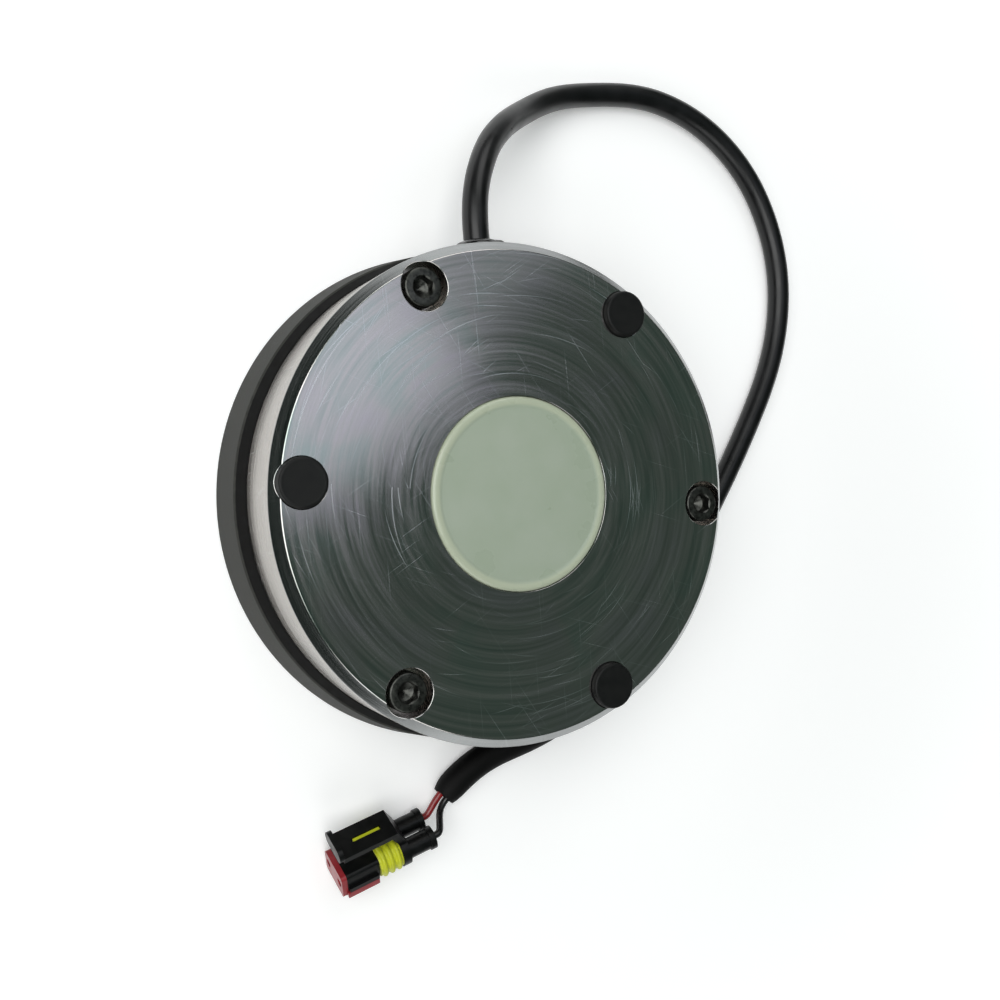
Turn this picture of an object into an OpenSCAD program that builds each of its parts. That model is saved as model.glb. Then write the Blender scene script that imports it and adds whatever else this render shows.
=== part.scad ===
// Spring-applied electromagnetic disc brake with its lead and a sealed two-way connector.
// Millimetres. Z runs up the shaft axis, the origin is the middle of the mounting face.
// At rest the springs clamp the rotor between the armature and the flange.

/* [Magnet housing] */
// outside diameter
housing_d = 130; // [128:0.5:132]
// height above the pole face
housing_h = 23.5; // [22.5:0.5:28]
// chamfer round the outer face
face_chamfer = 2.5; // [1.5:0.1:3]
// bore for the shaft end, as a share of the outside diameter
bore_share = 0.3385; // [0.33:0.0005:0.345]
// distance of the hole circle from the outside
hole_inset = 7.5; // [7.3:0.1:8]
// counterbore diameter
counterbore_d = 12.3; // [11.8:0.1:12.6]
// counterbore depth
counterbore_depth = 6.8; // [6.6:0.1:8]
// through hole diameter, for the mounting screws
through_d = 6.6; // [6.4:0.1:6.9]
// play of the assembly screws in their holes
screw_play = 0.1; // [0.05:0.05:0.2]
// inside of the coil pocket, as a share of the outside diameter
pocket_share = 0.523; // [0.515:0.001:0.53]
// wall between the coil pocket and the screw holes
pocket_wall = 5.2; // [4.7:0.1:6.2]
// depth of the coil pocket
pocket_depth = 15; // [13.5:0.5:16]
// height of the lead hole above the pole face
exit_rise = 11; // [9:0.5:12]

/* [Centre cap] */
// width of the rim that rests on its seat
cap_lip = 3.1; // [2.6:0.1:3.8]
// seat depth below the outer face
cap_seat = 2.2; // [1.6:0.1:2.6]
// height above the outer face
cap_proud = 0.45; // [0.2:0.05:1]
// wall of the skirt
cap_skirt_t = 1.4; // [1:0.1:2]
// length of the skirt
cap_skirt = 4; // [3:0.5:6]

/* [Brake stack] */
// thickness of the flange under the rotor
flange_t = 5; // [4.5:0.5:6]
// thickness of each lining
lining_t = 2; // [1.5:0.1:2.5]
// thickness of the carrier between the linings
web_t = 2.6; // [2:0.1:3.2]
// thickness of the armature
armature_t = 5; // [4.5:0.1:6]
// gap between armature and pole face
air_gap = 0.4; // [0.2:0.05:0.6]
// distance of the armature's edge from the housing's outside
armature_inset = 2.5; // [2.3:0.1:3]

/* [Flange] */
// flange radius outside the housing, at the mounting face
flange_lip = 4.25; // [3.5:0.25:4.25]
// radius lost to the casting draft over the rim
flange_draft = 1.75; // [1:0.25:2]
// height of the rim
rim_h = 13.5; // [12.5:0.25:14]
// wall of the rim at its top
rim_wall = 4; // [3.5:0.1:4.2]
// centre opening
flange_bore_d = 40; // [38:0.5:42]

/* [Rotor and hub] */
// clearance between the rotor and the spacer sleeves
rotor_clear = 1.5; // [1:0.1:2.5]
// inside diameter of the linings
lining_in_d = 64; // [60:1:68]
// diameter of the thick middle of the carrier
boss_d = 52; // [48:1:56]
// number of spline teeth
teeth = 18; // [12:1:24]
// wall between the keyway and the spline's root
hub_wall = 1.8; // [1.6:0.1:2.3]
// height of the teeth
tooth_h = 1.9; // [1.5:0.1:2]
// shaft bore
shaft_d = 20; // [18:1:20]
// keyway width
key_w = 6; // [5:0.5:6]
// keyway depth above the bore
key_h = 2.8; // [2.2:0.1:2.8]
// length of the hub
hub_l = 18; // [16:0.5:18]

/* [Springs] */
// number of springs
spring_count = 6; // [3:1:8]
// outside diameter of a spring
spring_d = 6; // [5.5:0.1:6.2]
// wire diameter
spring_wire = 1.2; // [1:0.1:1.3]
// number of turns
spring_turns = 4.4; // [3.8:0.1:4.6]
// depth of the spring pockets
spring_depth = 13; // [11.5:0.5:14]

/* [Fasteners] */
// screw thread diameter
screw_d = 6; // [5:0.5:6]
// screw head diameter
head_d = 10; // [9:0.1:10.5]
// screw head height
head_h = 6; // [5:0.1:6]
// hexagon across flats
hex_af = 5; // [4:0.5:5]
// hexagon depth
hex_depth = 3; // [2:0.1:3.5]
// height of the screw tips above the mounting face
tip_h = 1.2; // [1:0.1:2]
// outside diameter of the spacer sleeves
sleeve_d = 11; // [10:0.1:11.4]
// height of the plugs above the outer face
plug_proud = 1.8; // [1:0.1:2.5]
// plug diameter at its top
plug_top_d = 11.5; // [10.5:0.1:11.8]

/* [Lead] */
// lead diameter
lead_d = 7; // [6:0.1:7.4]
// outside diameter of the shrunk sleeve
shrink_d = 8.4; // [8.1:0.1:8.6]
// lead hole diameter in the housing
exit_d = 10.1; // [9.6:0.1:11]
// height of the sealant on the housing wall
bead_h = 2.2; // [1.5:0.1:3]
// core diameter
core_d = 2; // [1.6:0.1:2.1]

/* [Connector] */
// direction in which it points
plug_heading = 200; // [196:1:204]
// roll about its own length
plug_roll = 58; // [52:1:62]
// distance between its two rows of contacts
pitch = 7; // [6.8:0.1:7.2]
// outside diameter of the rear tubes
tube_d = 5.6; // [5.4:0.1:5.8]
// width of the front body
body_w = 11.2; // [11:0.1:12]
// thickness of the front body
body_t = 6.5; // [6.2:0.1:6.8]
// distance of the seal's round sides from the middle
seal_c = 2.6; // [2.4:0.1:2.7]
// radius of the seal's ribs
seal_r = 4.75; // [4.6:0.05:4.9]
// width of the latch
latch_w = 9; // [8:0.1:10]
// height of the latch above the connector's middle
latch_h = 9.7; // [9.3:0.1:10.5]
// thickness of the latch
latch_t = 1.6; // [1.2:0.1:1.8]
// travel of the secondary lock
lock_travel = 2; // [1:0.5:3]

/* [Hidden] */
$fn = 96;
housing_r = housing_d / 2;
rotor_t = 2 * lining_t + web_t;
rotor_top = flange_t + rotor_t;
pole_z = rotor_top + armature_t + air_gap;
top_z = pole_z + housing_h;
hole_r = housing_r - hole_inset;
seat_z = top_z - counterbore_depth;
bore_r = housing_r * bore_share;
pocket_in_r = housing_r * pocket_share;
pole_r = (bore_r + pocket_in_r) / 2;
cap_r = bore_r + cap_lip;
pocket_r = hole_r - through_d / 2 - pocket_wall;
rotor_r = hole_r - sleeve_d / 2 - rotor_clear;
screw_hole_r = screw_d / 2 + screw_play / 2;
spline_r = shaft_d / 2 + key_h + hub_wall + tooth_h;
exit_z = pole_z + exit_rise;
rim_r = housing_r + flange_lip - flange_draft;
fit = 0.05;
edge = 0.3;
screw_angles = [0, 120, 240];
plug_angles = [60, 180, 300];

// the lead's fall from the exit to the table: x, y and the share of the height that is left
fall = [
    [-7, 49, 1], [-8, 56, 1], [-9, 63, 1], [-10.5, 72.5, 1], [-10, 81.5, 0.96], [-7.5, 89.5, 0.88],
    [-4, 96.5, 0.76], [1.5, 103, 0.61], [6.5, 107.5, 0.45], [13.5, 113, 0.27], [20.5, 118, 0.16], [28.5, 122, 0.06]
];
// its loop on the table
loop = [
    [38, 125], [49, 127.5], [60, 128.5], [71, 127], [81.5, 123.5], [91, 118], [99.5, 110.5], [106, 101.5],
    [111, 91], [114, 79.5], [114.5, 67.5], [113, 55.5], [109.5, 43.5], [104.5, 32], [99, 20.5], [93, 9],
    [86.5, -2.5], [80, -14], [73.5, -25], [66, -36], [57.5, -46.5], [48, -56]
];
// its end in the shrunk sleeve
sleeved = [[36.5, -64.5], [24, -70.5], [13, -73.5], [5.5, -77.5], [-0.5, -82.5], [-3, -85.5]];
spread = housing_d / 130;
lead_r = lead_d / 2;
shrink_r = shrink_d / 2;
exit_angle = atan2(fall[1].y, fall[1].x);

// direction of a path at its point i
function unit(v) = v / norm(v);
function way(p, i) = unit(p[min(i + 1, len(p) - 1)] - p[max(i - 1, 0)]);
// ring of n points of radius r about a path's point i
function ring(p, i, r, n) =
    let (d = way(p, i), s = unit(cross(d, [0, 0, 1])), u = cross(s, d))
    [for (k = [0 : n - 1]) p[i] + r * (cos(360 * k / n) * s + sin(360 * k / n) * u)];
function rings(p, r, n) = [for (i = [0 : len(p) - 1]) ring(p, i, r, n)];
function backwards(a) = [for (i = [len(a) - 1 : -1 : 0]) a[i]];
// rectangle w by h with corners of radius r, as n points
function rounded(w, h, r, n) = [
    for (k = [0 : n - 1]) let (t = 360 * (k + 0.5) / n)
    [(w / 2 - r) * sign(cos(t)) + r * cos(t), (h / 2 - r) * sign(sin(t)) + r * sin(t)]
];
// helical path of a spring with flat end turns
function helix(r, z0, z1, turns, flat, steps) = [
    for (i = [0 : steps]) let (u = turns * i / steps, t = (u - flat) / (turns - 2 * flat))
    [r * cos(360 * u), r * sin(360 * u), z0 + (z1 - z0) * max(0, min(1, t))]
];
// outline of a spline: n teeth, root and tip radius, flank clearance c
function spline(n, root, tip, c) = [
    for (i = [0 : n - 1], q = [[root, -0.28], [tip, -0.18], [tip, 0.18], [root, 0.28]])
    let (r = q[0] + c, a = 360 / n * (i + q[1]) + sign(q[1]) * c / r * 57.3)
    [r * cos(a), r * sin(a)]
];

route = concat(
    [for (q = fall) [q.x * spread, q.y * spread, lead_r + q.z * (exit_z - lead_r)]],
    [for (q = loop) [q.x * spread, q.y * spread, lead_r]],
    [for (q = sleeved) [q.x * spread, q.y * spread, shrink_r]]
);
last = len(route) - 1;
stub = route[last] - 2.5 * unit(route[last] - route[last - 1]);

// the connector stands with its lowest seal rib on the table
plug_at = [-9 * spread, -93 * spread, seal_c * sin(plug_roll) + seal_r];
function turned(v) =
    let (y = v.y * cos(plug_roll) - v.z * sin(plug_roll), z = v.y * sin(plug_roll) + v.z * cos(plug_roll))
    [v.x * cos(plug_heading) - y * sin(plug_heading), v.x * sin(plug_heading) + y * cos(plug_heading), z];
function placed(v) = plug_at + turned(v);
tongue = lock_travel + 3.5;
front_x = 17;
side = unit(cross(unit(route[last] - route[last - 1]), [0, 0, 1]));
mouth = route[last];
red_route = [
    stub + 1.25 * side, mouth + 1.25 * side, mouth + [-3.7, -1.9, 0], placed([-2.6, -pitch / 2, 0]),
    placed([0, -pitch / 2, 0]), placed([4, -pitch / 2, 0]), placed([7.5, -pitch / 2, 0])
];
black_route = [
    stub - 1.25 * side, mouth - 1.25 * side, mouth + [-0.2, -4, 1.5], mouth + [-1.3, -6.3, 3.7],
    placed([-2.2, pitch / 2, 0]), placed([0, pitch / 2, 0]), placed([4, pitch / 2, 0]), placed([7.5, pitch / 2, 0])
];

// solid skin over rings of equal count, closed by end faces or into a loop
module skin(r, loop = false) {
    n = len(r[0]);
    m = len(r);
    walls = [
        for (i = [0 : m - (loop ? 1 : 2)], k = [0 : n - 1])
        let (a = i * n, b = (i + 1) % m * n, e = (k + 1) % n)
        each [[a + k, a + e, b + e], [a + k, b + e, b + k]]
    ];
    ends = loop ? [] : [[for (k = [n - 1 : -1 : 0]) k], [for (k = [0 : n - 1]) (m - 1) * n + k]];
    polyhedron([for (q = r) each q], concat(walls, ends), convexity = 8);
}

module on_circle(r, angles) {
    for (a = angles) rotate(a) translate([r, 0, 0]) children();
}

module pipe(z0, z1, r_out, r_in) {
    translate([0, 0, z0]) difference() {
        cylinder(h = z1 - z0, r = r_out);
        translate([0, 0, -1]) cylinder(h = z1 - z0 + 2, r = r_in);
    }
}

module peg(z0, z1, r) {
    translate([0, 0, z0]) cylinder(h = z1 - z0, r = r);
}

// cylinder along the lead's exit, from radius x0 to x1
module exit_peg(x0, x1, r) {
    translate([0, 0, exit_z]) rotate([0, 90, exit_angle]) translate([0, 0, x0]) cylinder(h = x1 - x0, r = r);
}

module flange_plate() {
    base_r = housing_r + flange_lip;
    in_r = rim_r - rim_wall;
    color("#4a4a48") difference() {
        rotate_extrude() polygon([
            [flange_bore_d / 2 + edge, 0], [base_r - 0.6, 0], [base_r, 0.6], [rim_r + 0.1, rim_h - 0.5],
            [rim_r - 0.4, rim_h], [in_r, rim_h], [in_r, flange_t + 1], [in_r - 1, flange_t],
            [flange_bore_d / 2 + edge, flange_t], [flange_bore_d / 2, flange_t - edge], [flange_bore_d / 2, edge]
        ]);
        on_circle(hole_r, screw_angles) peg(tip_h - 0.4, flange_t + 1, screw_d / 2 + 0.02);
        on_circle(hole_r, plug_angles) peg(-1, flange_t + 1, through_d / 2);
    }
}

module lining(z0) {
    color("#3b352e") pipe(z0, z0 + lining_t, rotor_r, lining_in_d / 2);
}

module lower_lining() {
    lining(flange_t);
}

module upper_lining() {
    lining(rotor_top - lining_t);
}

module rotor_carrier() {
    boss_r = boss_d / 2;
    color("#8d8f91") difference() {
        rotate_extrude() polygon([
            [spline_r - 3, flange_t + edge], [boss_r, flange_t + edge], [boss_r + 1, flange_t + lining_t],
            [rotor_r, flange_t + lining_t], [rotor_r, rotor_top - lining_t],
            [boss_r + 1, rotor_top - lining_t], [boss_r, rotor_top - edge], [spline_r - 3, rotor_top - edge]
        ]);
        translate([0, 0, flange_t - 1]) linear_extrude(rotor_t + 2)
            polygon(spline(teeth, spline_r - tooth_h, spline_r, 0.08));
    }
}

module spline_hub() {
    z0 = flange_t + rotor_t / 2 - hub_l / 2 + 2.2;
    r = spline_r;
    color("#a3a6a8") difference() {
        intersection() {
            translate([0, 0, z0]) linear_extrude(hub_l) polygon(spline(teeth, r - tooth_h, r, 0));
            rotate_extrude() polygon([
                [0, z0], [r - 1, z0], [r + 0.5, z0 + 1.5], [r + 0.5, z0 + hub_l - 1.5], [r - 1, z0 + hub_l],
                [0, z0 + hub_l]
            ]);
        }
        peg(z0 - 1, z0 + hub_l + 1, shaft_d / 2);
        translate([0, -key_w / 2, z0 - 1]) cube([shaft_d / 2 + key_h, key_w, hub_l + 2]);
        rotate_extrude() polygon([[0, z0 - 0.01], [shaft_d / 2 + 0.6, z0 - 0.01], [0, z0 + shaft_d / 2 + 0.6]]);
    }
}

module armature_plate() {
    r = sleeve_d / 2 + 0.2;
    color("#77797b") difference() {
        pipe(rotor_top, rotor_top + armature_t, housing_r - armature_inset, bore_r - 1);
        on_circle(hole_r, [0 : 60 : 300]) {
            peg(rotor_top - 1, rotor_top + armature_t + 1, r);
            translate([0, -r, rotor_top - 1]) cube([10, 2 * r, armature_t + 2]);
        }
    }
}

module magnet_housing() {
    color("#8f9496") difference() {
        rotate_extrude() polygon([
            [bore_r + edge, pole_z], [housing_r - edge, pole_z], [housing_r, pole_z + edge],
            [housing_r, top_z - face_chamfer], [housing_r - face_chamfer, top_z], [cap_r + 0.1, top_z],
            [cap_r + 0.1, top_z - cap_seat], [bore_r, top_z - cap_seat], [bore_r, pole_z + edge]
        ]);
        pipe(pole_z - 1, pole_z + pocket_depth, pocket_r, pocket_in_r);
        on_circle(hole_r, [0 : 60 : 300]) peg(seat_z, top_z + 1, counterbore_d / 2);
        on_circle(hole_r, screw_angles) peg(pole_z - 1, top_z, screw_hole_r);
        on_circle(hole_r, plug_angles) peg(pole_z - 1, top_z, through_d / 2);
        on_circle(pole_r, [for (i = [0 : spring_count - 1]) 30 + 360 / spring_count * i])
            peg(pole_z - 1, pole_z + spring_depth, spring_d / 2 + 0.5);
        exit_peg(pocket_r - 2, housing_r + 5, exit_d / 2);
    }
}

module coil_bobbin() {
    r0 = pocket_in_r + fit;
    r1 = pocket_r - 0.4;
    z0 = pole_z + 1.5;
    z1 = pole_z + pocket_depth;
    color("#d8d2c0") rotate_extrude() polygon([
        [r0, z0], [r1, z0], [r1, z0 + 1.2], [r0 + 1.2, z0 + 1.2], [r0 + 1.2, z1 - 1.2], [r1, z1 - 1.2], [r1, z1],
        [r0, z1]
    ]);
}

module coil_winding() {
    color("#a4562a")
        pipe(pole_z + 2.7, pole_z + pocket_depth - 1.2, pocket_r - 1, pocket_in_r + 1.3);
}

module potting_ring() {
    color("#2b2420") pipe(pole_z, pole_z + 1.5, pocket_r - fit, pocket_in_r + fit);
}

module brake_springs() {
    w = spring_wire / 2;
    z0 = rotor_top + armature_t + w;
    z1 = pole_z + spring_depth - w;
    path = helix(spring_d / 2 - w, z0, z1, spring_turns, 0.6, round(spring_turns * 10));
    color("#9a9c9e") on_circle(pole_r, [for (i = [0 : spring_count - 1]) 30 + 360 / spring_count * i])
        skin(rings(path, w, 6));
}

module spacer_sleeves() {
    color("#b0b2b3") on_circle(hole_r, screw_angles) pipe(flange_t, pole_z, sleeve_d / 2, screw_hole_r);
}

module assembly_screws() {
    head_z = seat_z + head_h;
    color("#1d1e1f") on_circle(hole_r, screw_angles) difference() {
        rotate_extrude() polygon([
            [0, tip_h], [screw_d / 2 - 0.6, tip_h], [screw_d / 2, tip_h + 0.6], [screw_d / 2, seat_z],
            [head_d / 2, seat_z], [head_d / 2, head_z - 0.5], [head_d / 2 - 0.5, head_z], [0, head_z]
        ]);
        translate([0, 0, head_z - hex_depth]) cylinder(h = hex_depth + 1, d = hex_af / cos(30), $fn = 6);
    }
}

module hole_plugs() {
    r = counterbore_d / 2 - fit;
    r_top = plug_top_d / 2;
    z = top_z + plug_proud;
    color("#1f211f") on_circle(hole_r, plug_angles) rotate_extrude() polygon([
        [0, seat_z], [r - 0.5, seat_z], [r, seat_z + 0.5], [r, top_z], [r_top + 0.1, z - 0.7], [r_top - 0.15, z - 0.2],
        [r_top - 0.7, z], [0, z]
    ]);
}

module dust_ring() {
    in_r = rim_r - rim_wall;
    color("#221f1e") rotate_extrude() polygon([
        [in_r, rim_h], [rim_r - 0.2, rim_h], [rim_r - 0.5, (rim_h * 2 + pole_z) / 3 + 0.2],
        [(rim_r + housing_r) / 2 + 0.1, (rim_h + pole_z) / 2 + 0.4], [housing_r, pole_z], [in_r, pole_z]
    ]);
}

module centre_cap() {
    r = cap_r;
    z = top_z + cap_proud;
    skirt_r = bore_r - fit;
    seat = top_z - cap_seat;
    color("#9ea996") rotate_extrude() polygon([
        [0, seat], [skirt_r - cap_skirt_t, seat], [skirt_r - cap_skirt_t, seat - cap_skirt],
        [skirt_r - 0.3, seat - cap_skirt], [skirt_r, seat - cap_skirt + 0.5], [skirt_r, seat], [r, seat],
        [r, z - 0.35], [r - 0.12, z - 0.12], [r - 0.4, z], [0, z]
    ]);
}

module cable_grommet() {
    color("#1a1a1a") difference() {
        exit_peg(pocket_r + 1, housing_r - 0.3, exit_d / 2 - fit);
        exit_peg(pocket_r, housing_r + 1, lead_r + fit);
    }
}

module sealant_bead() {
    r = housing_r;
    color("#0d0d0e") difference() {
        translate([0, 0, exit_z]) rotate([0, 90, exit_angle]) translate([0, -1.5, r - 2]) rotate_extrude() polygon([
            [0, 0], [6.6, 0], [6.4, 2.3], [5.6, 3.1], [4.4, bead_h + 1.6], [2.6, bead_h + 1.95], [0, bead_h + 2]
        ]);
        peg(0, top_z, r + 0.03, $fn = 256);
        exit_peg(r - 5, r + 10, lead_r + fit);
    }
}

module cable() {
    path = [for (i = [0 : last - 1]) route[i], stub];
    color("#161617") skin(rings(path, lead_r, 12));
}

module heat_shrink() {
    path = [for (i = [last - len(sleeved) + 1 : last]) route[i]];
    color("#101011") skin(concat(rings(path, shrink_r, 12), backwards(rings(path, lead_r + 0.1, 12))), loop = true);
}

module red_wire() {
    color("#7a1418") skin(rings(red_route, core_d / 2, 8));
}

module black_wire() {
    color("#121213") skin(rings(black_route, core_d / 2, 8));
}

// the connector's own frame: X to its mating end, Z to its latch
module at_connector() {
    translate(plug_at) rotate([plug_roll, 0, plug_heading]) children();
}

module along_x(x0, x1) {
    translate([x0, 0, 0]) rotate([90, 0, 90]) linear_extrude(x1 - x0) children();
}

module rows() {
    for (y = [-pitch / 2, pitch / 2]) translate([0, y, 0]) children();
}

module rod_x(x0, x1, r) {
    translate([x0, 0, 0]) rotate([0, 90, 0]) cylinder(h = x1 - x0, r = r);
}

module front_outline(t, z) {
    translate([0, z]) polygon(rounded(body_w, t, 1.2, 16));
}

module latch() {
    z0 = latch_h - latch_t;
    difference() {
        rotate([90, 0, 0]) linear_extrude(latch_w, center = true) polygon([
            [8.2, 2], [8.2, 4.7], [10.5, latch_h], [26.2, latch_h], [26.2, z0], [12.2, z0], [10.3, 4.6], [10.3, 2]
        ]);
        translate([13.5, -0.65, z0 - 1]) cube([8.5, 1.3, latch_t + 2]);
    }
    translate([0, 0, (z0 + 12.5) / 2]) along_x(26, 27.4)
        polygon(rounded(latch_w + 0.8, 12.5 - z0, (12.5 - z0) / 2 - 0.01, 24));
}

module connector_housing() {
    color("#18191a") at_connector() difference() {
        union() {
            rows() {
                rod_x(0, 1.6, tube_d / 2 + 0.4);
                rod_x(1, 8.6, tube_d / 2);
            }
            along_x(8, 10.3) polygon(rounded(2 * seal_c + 9, 9, 4.4, 32));
            along_x(9, 20) polygon(rounded(2 * seal_c + 6, 6, 2.99, 32));
            along_x(front_x, 26.5) front_outline(body_t, 0.25);
            translate([17.6, body_w / 2 - 0.5, -2.3]) cube([8.6, 1.3, 1.4]);
            latch();
        }
        rows() {
            rod_x(-1, 6, 2.1);
            rod_x(5, 30, 1.5);
        }
        translate([26.4 - tongue, -1, -1.1]) cube([10, 2, 2.2]);
    }
}

module interface_seal() {
    c = seal_c;
    outer = [
        [10.3, seal_r - 0.6],
        for (x = [11.5, 13.6, 15.7], q = [[-0.75, 0.6], [-0.35, 0.1], [0, 0], [0.35, 0.1], [0.75, 0.6]])
        [x + q[0], seal_r - q[1]],
        [front_x, seal_r - 0.6]
    ];
    bore = [[front_x, 3 + fit], [10.3, 3 + fit]];
    color("#a5ab10") at_connector() skin(
        [for (q = concat(outer, bore)) [for (v = rounded(2 * (c + q[1]), 2 * q[1], q[1], 32)) [q[0], -v.x, v.y]]],
        loop = true
    );
}

module secondary_lock() {
    low = 0.25 - body_t / 2;
    color("#a02028") at_connector() difference() {
        union() {
            along_x(26.5, 28) front_outline(body_t + 1.4, -0.45);
            translate([17.4, -body_w / 2 + 1, low - 1.4]) cube([9.6, body_w - 1.4, 1.35]);
            translate([26.5 - tongue, -0.9, -1]) cube([tongue + 0.5, 1.8, 2]);
        }
        rows() rod_x(26, 29, 1.2);
    }
}

module wire_seals() {
    color("#8a8f1a") at_connector() rows() rotate([0, 90, 0]) rotate_extrude() polygon([
        [core_d / 2 + 0.03, 0.8], [2, 0.8], [2.07, 1.1], [2.07, 1.9], [1.8, 2.2], [1.8, 2.6], [2.07, 2.9], [2.07, 3.7],
        [1.8, 4], [1.8, 4.4], [2.07, 4.7], [2.07, 5.7], [1.9, 5.9], [core_d / 2 + 0.03, 5.9]
    ]);
}

module terminals() {
    color("#b59a4a") at_connector() rows() difference() {
        union() {
            rod_x(7.5, 13, 1.4);
            translate([12.5, -1, -1]) cube([13, 2, 2]);
        }
        rod_x(18, 26, 0.8);
    }
}

magnet_housing();
assembly_screws();
hole_plugs();
centre_cap();
dust_ring();
flange_plate();
cable_grommet();
sealant_bead();
cable();
heat_shrink();
red_wire();
black_wire();
connector_housing();
interface_seal();
secondary_lock();
wire_seals();
terminals();
coil_bobbin();
coil_winding();
potting_ring();
brake_springs();
armature_plate();
spacer_sleeves();
rotor_carrier();
upper_lining();
lower_lining();
spline_hub();
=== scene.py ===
import logging
import math
from collections.abc import Sequence
from dataclasses import dataclass
from enum import Enum

import bmesh
import bpy
from mathutils import Matrix, Vector, noise


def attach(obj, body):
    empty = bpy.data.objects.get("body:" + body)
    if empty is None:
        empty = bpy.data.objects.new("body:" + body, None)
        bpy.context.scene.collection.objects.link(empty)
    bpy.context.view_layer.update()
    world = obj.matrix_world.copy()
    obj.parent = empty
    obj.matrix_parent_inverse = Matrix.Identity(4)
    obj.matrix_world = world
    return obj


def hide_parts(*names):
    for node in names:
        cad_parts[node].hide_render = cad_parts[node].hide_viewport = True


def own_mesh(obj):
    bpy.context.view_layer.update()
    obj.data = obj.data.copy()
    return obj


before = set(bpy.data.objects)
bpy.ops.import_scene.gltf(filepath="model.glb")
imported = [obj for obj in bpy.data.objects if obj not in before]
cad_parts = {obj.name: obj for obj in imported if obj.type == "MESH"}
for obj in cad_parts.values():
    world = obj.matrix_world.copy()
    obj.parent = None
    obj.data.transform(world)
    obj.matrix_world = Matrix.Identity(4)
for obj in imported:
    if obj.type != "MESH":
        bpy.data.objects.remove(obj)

log = logging.getLogger("brake")

MM = 0.001
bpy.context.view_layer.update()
Shape = bmesh.types.BMesh
Piece = bpy.types.Object
Tree = bpy.types.NodeTree
Node = bpy.types.Node
Socket = bpy.types.NodeSocket
Profile = Sequence[Sequence[float]]


class Body(Enum):
    """The CAD bodies that the new pieces ride on."""

    ROOT = "root"
    LOCK = "lock"


# Shapes

# mm within which points are one: along the seam of a full turn, and in a CAD node's loose triangles
TURN_SEAM, NODE_SEAM = 1e-5, 1e-3
# degrees up to which a node's triangles are one flat face, and from which its edges are rounded
FLAT, CORNER = 1, 35


def spun(profile: Profile, steps: int = 256) -> Shape:
    """Turns a closed profile round the Z axis, as a lathe does.

    Args:
        profile: points (radius, height) in mm, with the width of the corner's rounding as a third value.
        steps: number of sectors.

    Returns:
        The turned solid in mm.
    """
    shape = bmesh.new()
    corners = [shape.verts.new((point[0], 0, point[1])) for point in profile]
    for start, end in zip(corners, corners[1:] + corners[:1]):
        shape.edges.new((start, end))
    for corner, point in zip(corners, profile):
        if len(point) > 2:
            bmesh.ops.bevel(
                shape, geom=[corner], offset=point[2], offset_type="OFFSET", segments=4, profile=0.5,
                affect="VERTICES", material=-1, clamp_overlap=True,
            )
    bmesh.ops.spin(
        shape, geom=shape.verts[:] + shape.edges[:], cent=(0, 0, 0), axis=(0, 0, 1), dvec=(0, 0, 0),
        angle=2 * math.pi, steps=steps, use_merge=True, use_duplicate=False,
    )
    bmesh.ops.remove_doubles(shape, verts=shape.verts[:], dist=TURN_SEAM)
    bmesh.ops.recalc_face_normals(shape, faces=shape.faces[:])
    return shape


def swept(path: Sequence[Vector], radii: Sequence[float], sides: int = 24) -> Shape:
    """Carries a circle along a path and bridges its stations.

    Args:
        path: points in mm.
        radii: radius of the circle at each point.
        sides: number of sides of the circle.

    Returns:
        The closed rod in mm.
    """
    shape = bmesh.new()
    rings: list[list[bmesh.types.BMEdge]] = []
    for number, point in enumerate(path):
        ahead = (path[min(number + 1, len(path) - 1)] - path[max(number - 1, 0)]).normalized()
        side = ahead.cross(Vector((0, 0, 1))).normalized()
        turn = Matrix((side, ahead.cross(side), ahead)).transposed().to_4x4()
        made = bmesh.ops.create_circle(
            shape, cap_ends=False, segments=sides, radius=radii[number],
            matrix=Matrix.Translation(point) @ turn,
        )["verts"]
        rings.append(list(dict.fromkeys(edge for vert in made for edge in vert.link_edges)))
    for ring, following in zip(rings, rings[1:]):
        bmesh.ops.bridge_loops(shape, edges=ring + following)
    bmesh.ops.holes_fill(shape, edges=[edge for edge in shape.edges if edge.is_boundary], sides=0)
    bmesh.ops.recalc_face_normals(shape, faces=shape.faces[:])
    return shape


def block(centre: Sequence[float], size: Sequence[float]) -> Shape:
    """Makes a box.

    Args:
        centre: its middle in mm.
        size: its three sizes.

    Returns:
        The closed box in mm.
    """
    shape = bmesh.new()
    bmesh.ops.create_cube(shape, size=1.0, matrix=Matrix.Translation(centre) @ Matrix.Diagonal((*size, 1)))
    return shape


def drum(low: float, high: float, depth: float, middle: float, sides: int = 48) -> Shape:
    """Makes a drum, cone or prism on the Z axis.

    Args:
        low: radius of its lower end in mm.
        high: radius of its upper end.
        depth: distance between its ends.
        middle: height of its middle.
        sides: number of its sides.

    Returns:
        The closed solid in mm.
    """
    shape = bmesh.new()
    bmesh.ops.create_cone(
        shape, cap_ends=True, cap_tris=False, segments=sides, radius1=low, radius2=high, depth=depth,
        matrix=Matrix.Translation((0, 0, middle)),
    )
    return shape


def placed(shape: Shape, matrix: Matrix) -> Shape:
    """Moves a shape by a matrix and returns it."""
    bmesh.ops.transform(shape, matrix=matrix, verts=shape.verts[:])
    return shape


def joined(shapes: Sequence[Shape]) -> Shape:
    """Gathers separate shapes into one.

    Args:
        shapes: the shapes, which are freed.

    Returns:
        All of them in one.
    """
    whole = bmesh.new()
    for shape in shapes:
        mesh = bpy.data.meshes.new("shape")
        shape.to_mesh(mesh)
        shape.free()
        whole.from_mesh(mesh)
        bpy.data.meshes.remove(mesh)
    return whole


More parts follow.
